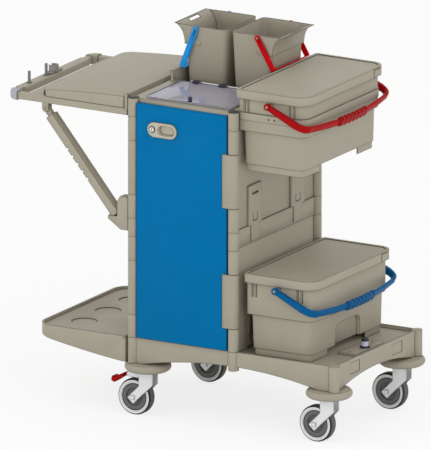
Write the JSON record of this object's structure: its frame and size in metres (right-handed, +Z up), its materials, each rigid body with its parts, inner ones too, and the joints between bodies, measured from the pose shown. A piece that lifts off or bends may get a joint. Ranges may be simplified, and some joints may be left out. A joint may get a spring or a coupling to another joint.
{
  "type": "janitor cart",
  "caption": "Janitor cart: castor base, panelled cabinet with door, top tub and pails, lidded buckets at one end, folding bag frame and tray at the other.",
  "frame": {"origin": "on the floor, below the centre of the bounding box", "axes": "+Z up, door facing -Y, large buckets at +X, push bar and bag frame at -X"},
  "size_m": [1.3025, 0.6408, 1.2913],
  "materials": {
    "body_plastic": "moulded beige-grey polypropylene, fine satin grain",
    "door_plastic": "moulded blue panel, satin",
    "trim_plastic": "moulded light beige, satin",
    "bumper_plastic": "soft grey bumper plastic",
    "dark_plastic": "moulded dark grey",
    "light_blue_plastic": "moulded light blue, semi-gloss",
    "dark_blue_plastic": "moulded dark blue, semi-gloss",
    "red_plastic": "moulded red, semi-gloss",
    "clear_plastic": "smoked clear moulding with a lavender tint",
    "wheel_plastic": "light grey moulded wheel",
    "tyre_rubber": "grey non-marking rubber",
    "castor_steel": "zinc-plated pressed steel"
  },
  "bodies": {
    "cart": {"base": "body_plastic", "bumper_discs": "bumper_plastic", "hinge_rods": "castor_steel", "post_fl": "body_plastic", "post_fr": "body_plastic", "post_rl": "body_plastic", "post_rr": "body_plastic", "post_caps": "dark_plastic", "left_walls": "body_plastic", "right_walls": "body_plastic", "back_walls": "body_plastic", "middle_frame": "body_plastic", "top_frame": "body_plastic", "wall_hook_plates": "body_plastic", "holder_ring": "body_plastic", "lock_plate": "body_plastic", "frame_brackets": "body_plastic"},
    "door": {"door_panel": "door_plastic", "door_hinges": "body_plastic", "door_escutcheon": "trim_plastic"},
    "lock_barrel": {"lock_barrel": "castor_steel"},
    "clear_lid": {"clear_lid": "clear_plastic", "clear_lid_knob": "dark_plastic"},
    "bag_frame": {"push_bar": "body_plastic", "bag_rails": "body_plastic", "bag_crossbar": "body_plastic", "corner_bumpers": "bumper_plastic", "tool_clip": "body_plastic"},
    "bag_lid": {"bag_lid": "body_plastic"},
    "strut_front": {"strut_front": "body_plastic"},
    "strut_rear": {"strut_rear": "body_plastic"},
    "fold_tray": {"fold_tray": "body_plastic"},
    "castor_fl": {"castor_fork_fl": "castor_steel", "axle_fl": "castor_steel"},
    "wheel_fl": {"wheel_fl": "wheel_plastic", "tyre_fl": "tyre_rubber"},
    "castor_fr": {"castor_fork_fr": "castor_steel", "axle_fr": "castor_steel"},
    "wheel_fr": {"wheel_fr": "wheel_plastic", "tyre_fr": "tyre_rubber"},
    "castor_rl": {"castor_fork_rl": "castor_steel", "axle_rl": "castor_steel"},
    "wheel_rl": {"wheel_rl": "wheel_plastic", "tyre_rl": "tyre_rubber"},
    "castor_rr": {"castor_fork_rr": "castor_steel", "axle_rr": "castor_steel"},
    "wheel_rr": {"wheel_rr": "wheel_plastic", "tyre_rr": "tyre_rubber"},
    "brake_pedal": {"brake_pedal": "red_plastic"},
    "small_bucket_blue": {"small_bucket_blue": "body_plastic"},
    "small_bail_blue": {"small_bail_blue": "light_blue_plastic"},
    "small_bucket_red": {"small_bucket_red": "body_plastic"},
    "small_bail_red": {"small_bail_red": "red_plastic"},
    "upper_bucket": {"upper_bucket": "body_plastic"},
    "upper_lid": {"upper_lid": "body_plastic"},
    "upper_bail": {"upper_bail": "red_plastic"},
    "lower_bucket": {"lower_bucket": "body_plastic"},
    "lower_lid": {"lower_lid": "body_plastic"},
    "lower_bail": {"lower_bail": "dark_blue_plastic"},
    "lock_knob": {"lock_knob": "dark_plastic"}
  },
  "joints": [
    {"name": "door_swing", "type": "hinge", "parent": "cart", "child": "door", "pos_m": [0.22375, -0.2755, 0.6], "axis": [0, 0, 1], "range_deg": [0, 110]},
    {"name": "lock_turn", "type": "hinge", "parent": "door", "child": "lock_barrel", "pos_m": [-0.07925, -0.2905, 1.005], "axis": [0, 1, 0], "range_deg": [0, 90]},
    {"name": "clear_lid_open", "type": "hinge", "parent": "cart", "child": "clear_lid", "pos_m": [0.03975, -0.0235, 1.108], "axis": [-1, 0, 0], "range_deg": [0, 90]},
    {"name": "bag_frame_fold", "type": "hinge", "parent": "cart", "child": "bag_frame", "pos_m": [-0.18825, 0, 1.104], "axis": [0, 1, 0], "range_deg": [0, 90]},
    {"name": "bag_lid_open", "type": "hinge", "parent": "bag_frame", "child": "bag_lid", "pos_m": [-0.36125, 0.2855, 1.066], "axis": [-1, 0, 0], "range_deg": [0, 90]},
    {"name": "strut_front_fold", "type": "hinge", "parent": "bag_frame", "child": "strut_front", "pos_m": [-0.49825, -0.2685, 1.018], "axis": [0, -1, 0], "range_deg": [0, 50.4]},
    {"name": "strut_rear_fold", "type": "hinge", "parent": "bag_frame", "child": "strut_rear", "pos_m": [-0.49825, 0.2685, 1.018], "axis": [0, -1, 0], "range_deg": [0, 50.4]},
    {"name": "fold_tray_fold", "type": "hinge", "parent": "cart", "child": "fold_tray", "pos_m": [-0.19125, 0, 0.271], "axis": [0, 1, 0], "range_deg": [0, 90]},
    {"name": "castor_fl_swivel", "type": "hinge", "parent": "cart", "child": "castor_fl", "pos_m": [-0.12475, -0.242, 0.15], "axis": [0, 0, 1], "continuous": true},
    {"name": "wheel_fl_roll", "type": "hinge", "parent": "castor_fl", "child": "wheel_fl", "pos_m": [-0.16875, -0.242, 0.0625], "axis": [0, 1, 0], "continuous": true},
    {"name": "castor_fr_swivel", "type": "hinge", "parent": "cart", "child": "castor_fr", "pos_m": [0.57275, -0.242, 0.15], "axis": [0, 0, 1], "continuous": true},
    {"name": "wheel_fr_roll", "type": "hinge", "parent": "castor_fr", "child": "wheel_fr", "pos_m": [0.52875, -0.242, 0.0625], "axis": [0, 1, 0], "continuous": true},
    {"name": "castor_rl_swivel", "type": "hinge", "parent": "cart", "child": "castor_rl", "pos_m": [-0.12475, 0.242, 0.15], "axis": [0, 0, 1], "continuous": true},
    {"name": "wheel_rl_roll", "type": "hinge", "parent": "castor_rl", "child": "wheel_rl", "pos_m": [-0.16875, 0.242, 0.0625], "axis": [0, 1, 0], "continuous": true},
    {"name": "castor_rr_swivel", "type": "hinge", "parent": "cart", "child": "castor_rr", "pos_m": [0.57275, 0.242, 0.15], "axis": [0, 0, 1], "continuous": true},
    {"name": "wheel_rr_roll", "type": "hinge", "parent": "castor_rr", "child": "wheel_rr", "pos_m": [0.52875, 0.242, 0.0625], "axis": [0, 1, 0], "continuous": true},
    {"name": "brake_press", "type": "hinge", "parent": "castor_fl", "child": "brake_pedal", "pos_m": [-0.19075, -0.242, 0.137], "axis": [0, -1, 0], "range_deg": [0, 12]},
    {"name": "small_bucket_blue_lift", "type": "slide", "parent": "cart", "child": "small_bucket_blue", "axis": [0, 0, 1], "range_m": [0, 0.3]},
    {"name": "small_bail_blue_swing", "type": "hinge", "parent": "small_bucket_blue", "child": "small_bail_blue", "pos_m": [-0.08427, 0.1185, 1.2813], "axis": [0, 1, 0], "range_deg": [0, 158.8]},
    {"name": "small_bucket_red_lift", "type": "slide", "parent": "cart", "child": "small_bucket_red", "axis": [0, 0, 1], "range_m": [0, 0.3]},
    {"name": "small_bail_red_swing", "type": "hinge", "parent": "small_bucket_red", "child": "small_bail_red", "pos_m": [0.15224, 0.1185, 1.2813], "axis": [0, -1, 0], "range_deg": [0, 149]},
    {"name": "upper_bucket_lift", "type": "slide", "parent": "cart", "child": "upper_bucket", "axis": [0, 0, 1], "range_m": [0, 0.05]},
    {"name": "upper_lid_lift", "type": "slide", "parent": "upper_bucket", "child": "upper_lid", "axis": [0, 0, 1], "range_m": [0, 0.045]},
    {"name": "upper_bail_swing", "type": "hinge", "parent": "upper_bucket", "child": "upper_bail", "pos_m": [0.36025, 0, 1.139], "axis": [0, -1, 0], "range_deg": [0, 115]},
    {"name": "lower_bucket_lift", "type": "slide", "parent": "cart", "child": "lower_bucket", "axis": [0, 0, 1], "range_m": [0, 0.13]},
    {"name": "lower_lid_lift", "type": "slide", "parent": "lower_bucket", "child": "lower_lid", "axis": [0, 0, 1], "range_m": [0, 0.1]},
    {"name": "lower_bail_swing", "type": "hinge", "parent": "lower_bucket", "child": "lower_bail", "pos_m": [0.38975, 0, 0.5073], "axis": [0, -1, 0], "range_deg": [0, 115]},
    {"name": "lock_knob_pull", "type": "slide", "parent": "cart", "child": "lock_knob", "axis": [0, 0, 1], "range_m": [0, 0.008]}
  ],
  "couplings": [
    {"joint": "strut_front_fold", "follows": "bag_frame_fold", "ratio": 0.56},
    {"joint": "strut_rear_fold", "follows": "bag_frame_fold", "ratio": 0.56}
  ]
}
